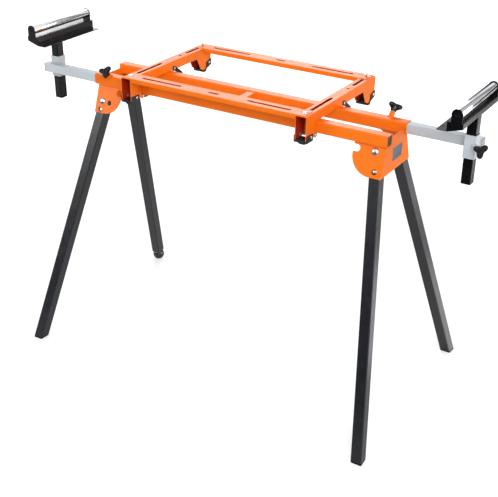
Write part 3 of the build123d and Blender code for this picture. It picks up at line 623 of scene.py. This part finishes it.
def boss_bead(bm, origin, axis, side_dir, side, corner):
    """The bead where a round boss stands on a tube's corner."""
    local = axes(origin, axis, side_dir)
    points = []
    for i in range(BOSS_BEAD_POINTS):
        angle = 2 * pi * i / BOSS_BEAD_POINTS
        along = BOSS_BEAD_REACH * cos(angle)
        across = BOSS_BEAD_REACH * sin(angle)
        height = corner_height(across, side, corner) + BOSS_BEAD_LIFT
        points.append(local @ (Vector((along, across, height)) * MM))
    add_bead(bm, points, BOSS_BEAD, closed=True)


for turn, depth_name, arm_name in ENDS:
    bm = bmesh.new()
    clamp_axis = turned(turn, 0, -sqrt(1 / 2), sqrt(1 / 2))
    clamp_origin = turned(turn, -ARM_KNOB_X, -BEAM_LANE, BEAM_MIDDLE) * MM
    boss_bead(bm, clamp_origin, clamp_axis, (1, 0, 0), BEAM_SIDE, BEAM_CORNER)
    for way in (1, -1):
        level = BEAM_MIDDLE + way * STRUT_HALF
        ends = (-STRUT_BEAD_HALF, STRUT_BEAD_HALF)
        flat_run = [turned(turn, x, -BEAM_SKIN, level) * MM for x in ends]
        upright_run = [turned(turn, way * STRUT_HALF, -BEAM_SKIN, z) * MM for z in STRUT_BEAD_LEVELS]
        add_bead(bm, flat_run, STRUT_BEAD)
        add_bead(bm, upright_run, STRUT_BEAD)
    for way in (1, -1):
        web_run = [turned(-turn, WEB_X, way * WEB_HALF, z) * MM for z in WEB_BEAD_LEVELS]
        add_bead(bm, web_run, WEB_BEAD)
    for way in (1, -1):
        plate_run = [turned(turn, way * x, PLATE_BEAD_Y, PLATE_BEAD_Z) * MM for x in PLATE_BEAD_ENDS]
        add_bead(bm, plate_run, PLATE_BEAD)
    finish(depth_name + "_frame_welds", bm, ORANGE, "frame")

    bm = bmesh.new()
    grip_axis = turned(turn, -sqrt(1 / 2), sqrt(1 / 2), 0)
    grip_origin = turned(turn, -SLEEVE_X, -SLEEVE_Y, SLEEVE_Z) * MM
    boss_bead(bm, grip_origin, grip_axis, (0, 0, 1), SLEEVE_SIDE, SLEEVE_CORNER)
    for x in (-SLEEVE_X - SLEEVE_BEAD_OUT, -SLEEVE_X + SLEEVE_BEAD_OUT):
        side_run = [turned(turn, x, SLEEVE_BEAD_Y, z) * MM for z in SLEEVE_BEAD_LEVELS]
        add_bead(bm, side_run, SLEEVE_BEAD)
    rim_ends = (-SLEEVE_X - SLEEVE_RIM_HALF, -SLEEVE_X + SLEEVE_RIM_HALF)
    for z in SLEEVE_RIM_LEVELS:
        add_bead(bm, [turned(turn, x, SLEEVE_RIM_Y, z) * MM for x in rim_ends], SLEEVE_BEAD)
    finish(arm_name + "_sleeve_welds", bm, SILVER, arm_name + "_arm")

    bm = bmesh.new()
    for way in (1, -1):
        for x in (-SLEEVE_X - POST_BEAD_OUT, -SLEEVE_X + POST_BEAD_OUT):
            y = -SLEEVE_Y + way * POST_EDGE
            ends = (x - POST_BEAD_HALF, x + POST_BEAD_HALF)
            add_bead(bm, [turned(turn, end, y, POST_BEAD_Z) * MM for end in ends], POST_BEAD)
    finish(arm_name + "_post_welds", bm, BLACK_PAINT, arm_name + "_post")


# Bolts and pins. Profiles are (radius, height) pairs, nuts are (width over flats, start, height,
# hole's radius), and threads are (radius, start, end, pitch).
DOME = ((0, -5.5), (2.2, -5.42), (4.6, -5.05), (6.6, -4.3), (8.3, -3.2), (9.4, -2.0),
        (9.9, -1.2), (10.0, -0.7), (9.85, -0.15), (9.6, 0.0), (5.0, 0.0))
WASHER = ((0, 33.0), (9.0, 33.0), (9.2, 33.15), (9.2, 33.4), (9.0, 33.5), (0, 33.5))
SHANK_END = ((5.0, 31.0), (0, 31.0))
PIVOT_THREAD = (5.0, 30.5, 41.5, 1.5)
PIVOT_NUT = (15.0, 33.5, 6.0, 4.8)
LOCK_TIP = 2.3
LOCK_DOME = (
    (0, 0.0), (2.4, 0.06), (4.2, 0.3), (5.3, 0.75), (6.0, 1.4), (6.4, 2.3), (6.5, 3.2), (6.5, 4.6),
)
LOCK_SHANK = ((6.5, 13.6), (8.3, 13.6), (8.5, 13.8), (8.5, 15.4), (8.3, 15.6), (0, 15.6))
FRONT_BOLT = (
    (0, 4.0), (2.0, 3.92), (4.2, 3.5), (6.0, 2.7), (7.3, 1.6), (7.9, 0.7), (8.0, 0.3),
    (7.8, 0.0), (3.0, 0.0), (3.0, -4.0), (0, -4.0),
)
FRONT_THREAD = (3.0, -3.9, -12.0, 1.0)
FRONT_NUT = (10.0, -9.0, 5.0, 2.8)
REAR_STUD = (
    (0, -8.0), (2.0, -7.9), (4.2, -7.5), (6.0, -6.7), (7.3, -5.6), (7.9, -4.7),
    (7.8, -4.0), (3.0, -4.0), (3.0, 0.5), (0, 0.5),
)
REAR_WASHER = ((0, 0.0), (5.8, 0.0), (6.0, 0.15), (6.0, 0.85), (5.8, 1.0), (0, 1.0))
REAR_NUT = (10.0, 1.0, 5.0, 2.8)
REAR_THREAD = (3.0, 0.4, 11.0, 1.0)

for leg_name, turn, side, pivot, lock in LEGS:
    inward = turned(turn, *lean_vector(0, 0, 1))
    bm = bmesh.new()
    local = axes(lean_point(turn, side * pivot[0], pivot[1], 0), inward)
    add_lathe(bm, local, DOME + SHANK_END)
    add_thread(bm, local, *PIVOT_THREAD)
    add_hex(bm, local, *PIVOT_NUT)
    add_lathe(bm, local, WASHER)
    body = NODE_BODY[leg_name + "_pivot_bolt"]
    finish(leg_name + "_pivot_bolt_and_nut", bm, ZINC, body, [leg_name + "_pivot_bolt"])

    bm = bmesh.new()
    lock_x = side * (pivot[0] + lock * sin(SPLAY))
    lock_s = pivot[1] + lock * cos(SPLAY)
    local = axes(lean_point(turn, lock_x, lock_s, 0), inward)
    add_lathe(bm, local, [(r, LOCK_TIP + h) for r, h in LOCK_DOME] + list(LOCK_SHANK))
    finish(leg_name + "_snap_button", bm, ZINC, NODE_BODY[leg_name + "_lock_pin"],
           [leg_name + "_lock_pin"])

# Corner bolts of the saw mount
bm = bmesh.new()
for _, x in CHANNELS:
    local = axes(point(x, FRONT_RAIL_Y, RAIL_TOP), (0, 0, 1))
    add_lathe(bm, local, FRONT_BOLT)
    add_thread(bm, local, *FRONT_THREAD)
    add_hex(bm, local, *FRONT_NUT)
finish("front_corner_bolts_and_nuts", bm, ZINC, "saw_mount", ["front_corner_bolts"])

bm = bmesh.new()
for _, x in CHANNELS:
    local = axes(point(x, REAR_RAIL_Y, RAIL_TOP), (0, 0, 1))
    add_lathe(bm, local, REAR_STUD)
    add_lathe(bm, local, REAR_WASHER)
    add_hex(bm, local, *REAR_NUT)
    add_thread(bm, local, *REAR_THREAD)
finish("rear_corner_studs_and_nuts", bm, ZINC, "saw_mount", ["rear_corner_bolts"])

# Pad screws: half the width and half the length of the recess's slots, how much its floor
# narrows and its level, then the sides of the head, its crown and the shank
CROSS = (0.55, 2.1)
CROSS_TAPER = 0.8
CROSS_FLOOR = 1.1
HEAD_SIDE = ((4.0, 0.0), (4.0, 0.9), (3.75, 1.6), (3.2, 2.15))
CROWN_RADIUS = 2.6
CROWN = 2.4
SCREW_SHANK = ((0, 0.1), (1.9, 0.1), (1.9, -6.5), (0, -6.5))


def add_screw_head(bm, local):
    """A domed screw head with a cross recess, standing along the local z axis."""
    segments = 40
    thin, wide = CROSS
    cross = [
        (thin, wide), (thin, thin), (wide, thin), (wide, -thin), (thin, -thin), (thin, -wide),
        (-thin, -wide), (-thin, -thin), (-wide, -thin), (-wide, thin), (-thin, thin),
        (-thin, wide),
    ]
    rows = [circle(r, h, segments) for r, h in HEAD_SIDE]
    crown = circle(CROWN_RADIUS, CROWN, segments)
    made = [ring(bm, local, row) for row in rows + [crown]]
    for first, second in zip(made, made[1:]):
        bridge(bm, first, second)
    bm.faces.new(made[0])
    mouth = ring(bm, local, [(x, y, CROWN) for x, y in cross])
    floor_points = [(x * CROSS_TAPER, y * CROSS_TAPER, CROSS_FLOOR) for x, y in cross]
    floor = ring(bm, local, floor_points)
    bridge(bm, mouth, floor)
    bm.faces.new(floor)
    outer = [Vector(p) for p in crown]
    inner = [Vector((x, y, CROWN)) for x, y in cross]
    verts = made[-1] + mouth
    for a, b, c in tessellate_polygon([outer, inner]):
        bm.faces.new((verts[a], verts[b], verts[c]))


# Two pad screws in the front foot of each channel and two in its rear foot: where they are, how
# far out their heads start, and the side from which their recesses are drawn
FRONT_SCREW = (-97.0, 748.0)
REAR_SCREW_Y = 253.4
SCREW_ABOVE_SEAT = 6.0
SCREW_REACH = 19.0
SCREW_SIDE = (0, 1, 0.4)
REAR_SEAT = ((240.26, 747.8), (264.35, 755.925))
seat_slope = (REAR_SEAT[1][1] - REAR_SEAT[0][1]) / (REAR_SEAT[1][0] - REAR_SEAT[0][0])
rear_screw_z = REAR_SEAT[0][1] + (REAR_SCREW_Y - REAR_SEAT[0][0]) * seat_slope + SCREW_ABOVE_SEAT
bm = bmesh.new()
for _, x in CHANNELS:
    for way in (1, -1):
        for y, z in (FRONT_SCREW, (REAR_SCREW_Y, rear_screw_z)):
            local = axes(point(x + way * SCREW_REACH, y, z), (way, 0, 0), SCREW_SIDE)
            add_screw_head(bm, local)
            add_lathe(bm, local, SCREW_SHANK, 20)
finish("pad_screws_with_cross_heads", bm, ZINC, "saw_mount", ["pad_screws"])

# Rounded bumpers under the front pads, as (side, corner, depth) of each ring
BUMPER_Y, BUMPER_Z = -102.0, 736.0
BUMPER = ((22.0, 5.0, -1.0), (22.0, 5.0, 2.5), (21.0, 5.0, 4.6), (18.0, 5.0, 6.2), (13.0, 4.5, 7.0))
for channel_name, x in CHANNELS:
    bm = bmesh.new()
    local = axes(point(x, BUMPER_Y, BUMPER_Z), (0, 0, -1), (1, 0, 0))
    add_rows(bm, local, [rounded(side, side, corner, level) for side, corner, level in BUMPER])
    finish(channel_name + "_pad_bumper", bm, RUBBER, "saw_mount")

# Hook pins under the front beam
HOOK_Y, HOOK_Z = -68.5, 745.5
HOOK_END = (
    (4.0, 15.6), (3.7, 15.9), (3.7, 16.6), (4.0, 16.9), (4.0, 18.3), (3.6, 19.1), (2.8, 19.5),
    (0, 19.5),
)

for channel_name, x in CHANNELS:
    bm = bmesh.new()
    local = axes(point(x, HOOK_Y, HOOK_Z), (1, 0, 0), (0, 1, 0))
    add_lathe(bm, local, mirrored(HOOK_END))
    finish(channel_name + "_hook_rod", bm, ZINC, "saw_mount", [channel_name + "_hook_pin"])


# Rollers and clamp screws
ROLLER_X = 630.5
ROLLER_Z = 886.0
ROLLER_END = ((12.5, 114.6), (12.3, 115.2), (11.8, 115.5), (11.1, 115.5), (11.0, 114.0), (0, 114.0))
END_PLUG = (
    (0, 113.0), (10.9, 113.0), (10.9, 114.9), (10.6, 115.2), (7.0, 115.2), (6.7, 114.7),
    (6.3, 114.7), (6.0, 115.4), (4.0, 115.5), (4.0, 117.6), (3.7, 118.0), (3.0, 118.0),
    (2.8, 117.4), (0, 117.3),
)

for turn, _, arm_name in ENDS:
    bm = bmesh.new()
    local = axes(point(-turn * ROLLER_X, 0, ROLLER_Z), (0, 1, 0))
    add_lathe(bm, local, mirrored(ROLLER_END), 96)
    finish(arm_name + "_chrome_roller", bm, CHROME, arm_name + "_roller",
           [arm_name + "_roller"])
    bm = bmesh.new()
    for way in (1, -1):
        add_lathe(bm, local, [(r, way * h) for r, h in END_PLUG], 72)
    finish(arm_name + "_roller_end_plugs", bm, PLASTIC, arm_name + "_roller")


# Clamp knobs: the reach of the head's hollows and lobes, the neck's radius, the levels of the
# underside's end, the foot and the top, then each ring's share of the outline, its level, and
# its radius where it is round
KNOB_LOW = 9.6
KNOB_HIGH = 20.0
KNOB_POWER = 1.35
KNOB_NECK = 8.0
KNOB_UNDERSIDE = 45.0
KNOB_FOOT = 35.0
KNOB_TOP = 53.1
KNOB_LEVELS = (
    (0.0, 35.0, 7.0), (0.0, 35.3, 7.6), (0.0, 38.4, 8.0), (0.12, 39.5, None),
    (0.45, 41.6, None), (0.80, 43.7, None), (0.93, 44.6, None), (1.0, 45.8, None),
    (1.0, 48.6, None), (0.985, 50.6, None), (0.94, 52.0, None), (0.86, 52.8, None),
    (0.76, 53.0, None), (0.5, 52.3, None), (0.36, 52.0, None), (0.34, 52.1, 6.2),
    (0.33, 52.8, 6.0), (0.3, 53.0, 5.4),
)
KNOB_THREAD = (4.0, 35.5, 16.95)


def lobed(angle):
    """The reach of a knob's three-lobed outline at an angle."""
    return KNOB_LOW + (KNOB_HIGH - KNOB_LOW) * (0.5 - 0.5 * cos(3 * angle)) ** KNOB_POWER


def add_knob(bm, local):
    """A three-lobed head whose underside tapers to its neck."""
    segments = 120
    rows = [[(0, 0, KNOB_FOOT)]]
    for share, height, fixed in KNOB_LEVELS:
        row = []
        for i in range(segments):
            angle = 2 * pi * i / segments
            reach = lobed(angle)
            if fixed is not None:
                size = fixed
            elif height < KNOB_UNDERSIDE:
                size = KNOB_NECK + (reach - KNOB_NECK) * share
            else:
                size = reach * share
            row.append((size * cos(angle), size * sin(angle), height))
        rows.append(row)
    rows.append([(0, 0, KNOB_TOP)])
    add_rows(bm, local, rows)


for turn, _, arm_name in ENDS:
    arm_local = axes(
        turned(turn, -ARM_KNOB_X, -BEAM_LANE, BEAM_MIDDLE) * MM,
        turned(turn, 0, -sqrt(1 / 2), sqrt(1 / 2)), (turn, 0, 0),
    )
    post_local = axes(
        turned(turn, -SLEEVE_X, -SLEEVE_Y, SLEEVE_Z) * MM,
        turned(turn, -sqrt(1 / 2), sqrt(1 / 2), 0), (0, 0, 1),
    )
    for kind, local in (("_arm_knob", arm_local), ("_post_knob", post_local)):
        node = arm_name + kind
        bm = bmesh.new()
        add_knob(bm, local)
        finish(node + "_head", bm, PLASTIC, node, [node], sharp=50.0)
        bm = bmesh.new()
        add_thread(bm, local, *KNOB_THREAD)
        finish(node + "_screw", bm, ZINC, node)


# Ball foot: its neck, then the arc in degrees
BALL_RADIUS = 19.0
BALL_NECK = ((0, -18.9), (6.5, -18.9), (9.6, -18.7), (10.0, -18.2), (10.0, -16.6))
BALL_START = -57
BALL_SWEEP = 147
BALL_STEPS = 24
BALL_THREAD = (5.0, -18.0, -59.0, 1.5)
LEG_MIDDLE = 18.0

leg_down = turned(-1, *lean_vector(sin(SPLAY), cos(SPLAY), 0))
floor_s = (BEAM_BOTTOM - LEG_MIDDLE * sin(LEAN)) / cos(LEAN)
leg_length = (floor_s - UPPER_PIVOT[1]) / cos(SPLAY)
ball_centre_run = leg_length - BALL_RADIUS / (cos(LEAN) * cos(SPLAY))
pivot_middle = lean_point(-1, UPPER_PIVOT[0], UPPER_PIVOT[1], LEG_MIDDLE)
ball_local = axes(pivot_middle + leg_down * ball_centre_run * MM, leg_down)
bm = bmesh.new()
profile = list(BALL_NECK)
for i in range(BALL_STEPS + 1):
    angle = radians(BALL_START + i * (BALL_SWEEP / BALL_STEPS))
    profile.append((BALL_RADIUS * cos(angle), BALL_RADIUS * sin(angle)))
profile[-1] = (0, BALL_RADIUS)
add_lathe(bm, ball_local, profile, 72)
finish("levelling_ball", bm, GLOSS, "levelling_foot",
       ["rear_left_levelling_foot"])
bm = bmesh.new()
add_thread(bm, ball_local, *BALL_THREAD)
finish("levelling_ball_screw", bm, ZINC, "levelling_foot")

# Plain sticker: a thin sheet with a pressed border, as (width, height, corner, level) of each ring
STICKER_PLACE = (446.15, 5.0, 717.0)
STICKER_RINGS = (
    (53.0, 34.0, 2.0, 0.0), (53.0, 34.0, 2.0, 0.22), (52.6, 33.6, 1.8, 0.3), (50.4, 31.4, 1.5, 0.3),
    (50.0, 31.0, 1.4, 0.2), (49.6, 30.6, 1.3, 0.2), (49.2, 30.2, 1.2, 0.28),
)
bm = bmesh.new()
local = axes(point(*STICKER_PLACE), (1, 0, 0), (0, 1, 0))
add_rows(bm, local, [rounded(*step) for step in STICKER_RINGS])
finish("blank_sticker", bm, STICKER, "frame", ["blank_label"], sharp=20.0)


# Camera, solved from the photograph
YAW = 0.5566
PITCH = 0.4878
ROLL = 0.0070
CAMERA_LENS = 69.49
CAMERA_PLACE = (1301.70, -2058.26, 1613.18)
ahead = Vector((-sin(YAW) * cos(PITCH), cos(YAW) * cos(PITCH), -sin(PITCH)))
level_right = Vector((cos(YAW), sin(YAW), 0))
level_up = level_right.cross(ahead)
right = level_right * cos(ROLL) + level_up * sin(ROLL)
up = level_up * cos(ROLL) - level_right * sin(ROLL)
camera_data = bpy.data.cameras.new("photo_camera")
camera_data.sensor_width = 36.0
camera_data.lens = CAMERA_LENS
camera_data.clip_end = 60.0
camera = bpy.data.objects.new("photo_camera", camera_data)
SCENE.collection.objects.link(camera)
camera_matrix = Matrix((right, up, -ahead)).transposed().to_4x4()
camera_matrix.translation = point(*CAMERA_PLACE)
camera.matrix_world = camera_matrix
SCENE.camera = camera
SCENE.view_settings.view_transform = "Standard"

# World: plain light on the object, white where the camera or a reflection sees it
LIT_COLOR = (0.95, 0.97, 1.0, 1)
LIT_STRENGTH = 0.36
world = bpy.data.worlds.new("studio")
SCENE.world = world
world.use_nodes = True
tree = world.node_tree
tree.nodes.clear()
output = tree.nodes.new("ShaderNodeOutputWorld")
mix = tree.nodes.new("ShaderNodeMixShader")
lit = tree.nodes.new("ShaderNodeBackground")
seen = tree.nodes.new("ShaderNodeBackground")
lit.inputs["Color"].default_value = LIT_COLOR
lit.inputs["Strength"].default_value = LIT_STRENGTH
seen.inputs["Color"].default_value = (1, 1, 1, 1)
seen.inputs["Strength"].default_value = 1.0
path = tree.nodes.new("ShaderNodeLightPath")
first_or = tree.nodes.new("ShaderNodeMath")
second_or = tree.nodes.new("ShaderNodeMath")
first_or.operation = second_or.operation = "MAXIMUM"
tree.links.new(path.outputs["Is Camera Ray"], first_or.inputs[0])
tree.links.new(path.outputs["Is Glossy Ray"], first_or.inputs[1])
tree.links.new(first_or.outputs[0], second_or.inputs[0])
tree.links.new(path.outputs["Is Transmission Ray"], second_or.inputs[1])
tree.links.new(second_or.outputs[0], mix.inputs["Fac"])
tree.links.new(lit.outputs[0], mix.inputs[1])
tree.links.new(seen.outputs[0], mix.inputs[2])
tree.links.new(mix.outputs[0], output.inputs["Surface"])


def area_light(name, place, target, size, power, color):
    """A large soft lamp that looks at a point."""
    data = bpy.data.lights.new(name, "AREA")
    data.shape = "RECTANGLE"
    data.size, data.size_y = size
    data.energy = power
    data.color = color
    lamp = bpy.data.objects.new(name, data)
    SCENE.collection.objects.link(lamp)
    gaze = Vector(target) - Vector(place)
    lamp.matrix_world = Matrix.Translation(place) @ gaze.to_track_quat("-Z", "Y").to_matrix().to_4x4()


# Lamps: name, place, target, size, power and colour
LAMPS = (
    ("key_lamp", (2.4, -2.6, 2.9), (0, 0, 0.6), (2.0, 2.0), 113.0, (1.0, 0.99, 0.97)),
    ("left_lamp", (-1.9, -2.4, 1.65), (-0.3, 0, 0.7), (1.3, 1.2), 24.0, (0.97, 0.99, 1.0)),
    ("back_lamp", (-2.2, 3.5, 3.0), (0, 0, 0.8), (3.9, 2.4), 125.0, (1.0, 1.0, 1.0)),
    ("right_lamp", (3.0, 1.6, 0.9), (0.2, 0, 0.6), (2.2, 1.6), 40.0, (1.0, 1.0, 1.0)),
)
for lamp in LAMPS:
    area_light(*lamp)


def plane_piece(name, matrix, width, depth, material):
    """A flat sheet of the studio set round a local origin."""
    bm = bmesh.new()
    bmesh.ops.create_grid(bm, x_segments=8, y_segments=8, size=0.5)
    bmesh.ops.scale(bm, vec=(width, depth, 1), verts=bm.verts)
    bmesh.ops.transform(bm, matrix=matrix, verts=bm.verts)
    mesh = bpy.data.meshes.new(name)
    bm.to_mesh(mesh)
    bm.free()
    sheet = bpy.data.objects.new(name, mesh)
    SCENE.collection.objects.link(sheet)
    mesh.materials.append(material)
    return sheet


# Floor: pale, with its own shadow, and lifted to white where it is seen, more so further out
FLOOR_GREY = (0.66, 0.66, 0.66, 1)
FLOOR_SIDE = 28.0
LIFT_FROM, LIFT_TO = 0.8, 4.0
LIFT_LOW, LIFT_HIGH = 0.44, 0.86
floor_made, tree, shader = new_material("pale_floor")
shader.inputs["Base Color"].default_value = FLOOR_GREY
shader.inputs["Roughness"].default_value = 0.7
shader.inputs["Specular IOR Level"].default_value = 0.1
shader.inputs["Emission Color"].default_value = (1, 1, 1, 1)
bump(tree, shader, noise(tree, 40.0, 2.0), 0.02, MM)
floor_path = tree.nodes.new("ShaderNodeLightPath")
place = tree.nodes.new("ShaderNodeTexCoord")
distance = tree.nodes.new("ShaderNodeVectorMath")
distance.operation = "LENGTH"
rise = tree.nodes.new("ShaderNodeMapRange")
rise.interpolation_type = "SMOOTHSTEP"
rise.inputs["From Min"].default_value = LIFT_FROM
rise.inputs["From Max"].default_value = LIFT_TO
rise.inputs["To Min"].default_value = LIFT_LOW
rise.inputs["To Max"].default_value = LIFT_HIGH
lift = tree.nodes.new("ShaderNodeMath")
lift.operation = "MULTIPLY"
tree.links.new(place.outputs["Object"], distance.inputs[0])
tree.links.new(distance.outputs["Value"], rise.inputs["Value"])
tree.links.new(rise.outputs["Result"], lift.inputs[0])
tree.links.new(floor_path.outputs["Is Camera Ray"], lift.inputs[1])
tree.links.new(lift.outputs[0], shader.inputs["Emission Strength"])
plane_piece("studio_floor", Matrix(), FLOOR_SIDE, FLOOR_SIDE, floor_made)

# Cards that only reflections see, painting dark and bright reflections into glossy surfaces; the
# white and bright ones glow though they are no lamps. The base colour and the glow of each kind
PAINTED_REFLECTION_LEVELS = {
    "dark": (0.012, 0.0), "grey": (0.05, 0.28), "pale": (0.05, 0.55),
    "white": (0.80, 1.0), "bright": (0.80, 2.4),
}
CARD_HEIGHT = 0.004
painted_reflection_looks = {}
for level_name, (level, glow) in PAINTED_REFLECTION_LEVELS.items():
    made, tree, shader = new_material(level_name + "_card")
    shader.inputs["Base Color"].default_value = (level, level, level, 1)
    shader.inputs["Roughness"].default_value = 0.9
    shader.inputs["Specular IOR Level"].default_value = 0.0
    shader.inputs["Emission Color"].default_value = (1, 1, 1, 1)
    shader.inputs["Emission Strength"].default_value = glow
    painted_reflection_looks[level_name] = made
# Floor cards: name, kind, then from and to along the stand, and from and to behind it. Wall cards:
# name, kind, how far behind the stand, then from and to along it, and from and to upward.
FLOOR_CARDS = (
    ("front_floor_card", "dark", (-1.9, 1.9), (-3.55, -0.85)),
    ("back_left_floor_card", "dark", (-3.0, -0.1), (0.95, 3.25)),
    ("back_floor_card", "dark", (0.45, 1.22), (0.95, 2.1)),
    ("far_floor_card", "dark", (1.48, 1.95), (2.2, 2.9)),
    ("side_floor_card", "white", (0.55, 2.45), (0.15, 0.94)),
    ("side_far_floor_card", "white", (1.23, 2.67), (0.95, 2.19)),
)
WALL_CARDS = (
    ("back_left_dark_card", "dark", 2.6, (-4.6, 0.0), (0.21, 1.05)),
    ("back_dark_card", "dark", 2.6, (0.0, 3.4), (0.45, 0.95)),
    ("back_left_card", "grey", 2.6, (-5.3, -1.7), (1.05, 1.75)),
    ("back_flange_card", "grey", 2.6, (-0.78, -0.05), (1.05, 2.4)),
    ("back_line_card", "dark", 2.6, (0.60, 0.68), (1.05, 3.7)),
    ("back_grey_card", "grey", 2.6, (0.68, 1.25), (1.05, 3.7)),
    ("back_second_line_card", "dark", 2.6, (1.25, 1.31), (1.05, 3.7)),
    ("back_pale_card", "pale", 2.6, (1.31, 2.8), (1.05, 3.7)),
    ("front_card", "dark", -3.3, (-2.4, 1.1), (-0.05, 1.65)),
    ("front_left_card", "dark", -3.3, (-4.9, -2.4), (-0.05, 1.3)),
    ("front_left_bright_card", "bright", -3.3, (-4.4, -2.2), (1.5, 2.7)),
)
UPRIGHT = Matrix.Rotation(pi / 2, 4, "X")
cards = []
for name, level_name, along, away in FLOOR_CARDS:
    spot = Matrix.Translation((sum(along) / 2, sum(away) / 2, CARD_HEIGHT))
    size = (along[1] - along[0], away[1] - away[0])
    cards.append(plane_piece(name, spot, *size, painted_reflection_looks[level_name]))
for name, level_name, distance, along, rise in WALL_CARDS:
    spot = Matrix.Translation((sum(along) / 2, distance, sum(rise) / 2)) @ UPRIGHT
    size = (along[1] - along[0], rise[1] - rise[0])
    cards.append(plane_piece(name, spot, *size, painted_reflection_looks[level_name]))
# Hidden from the camera, from diffuse light and from shadows, the cards only paint reflections
for card in cards:
    card.visible_camera = False
    card.visible_diffuse = False
    card.visible_shadow = False
